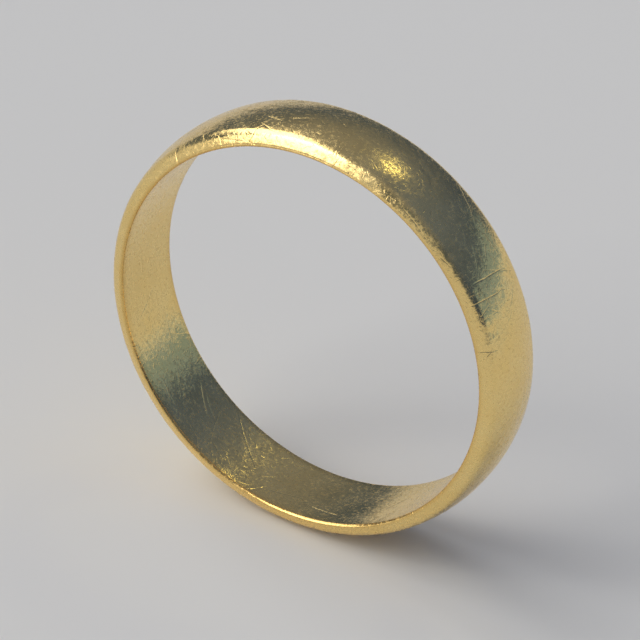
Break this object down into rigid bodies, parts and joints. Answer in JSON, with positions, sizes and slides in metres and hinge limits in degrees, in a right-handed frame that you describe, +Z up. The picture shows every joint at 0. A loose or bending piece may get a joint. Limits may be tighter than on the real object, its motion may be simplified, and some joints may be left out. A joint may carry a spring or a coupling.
{
  "type": "wedding band",
  "caption": "Plain yellow-gold wedding band: a single solid ring with a flat bore, narrow side walls that wear has sloped, broad rounded shoulders and a low domed outside.",
  "frame": {"origin": "centre of the bore, half way through its width", "axes": "Y along the ring's axis, which is the finger's line; +Z up, with the ring standing on its rim; X across it"},
  "size_m": [0.02, 0.0038, 0.02],
  "materials": {
    "gold": "gloss"
  },
  "bodies": {
    "root": {"band": "gold"}
  },
  "joints": []
}
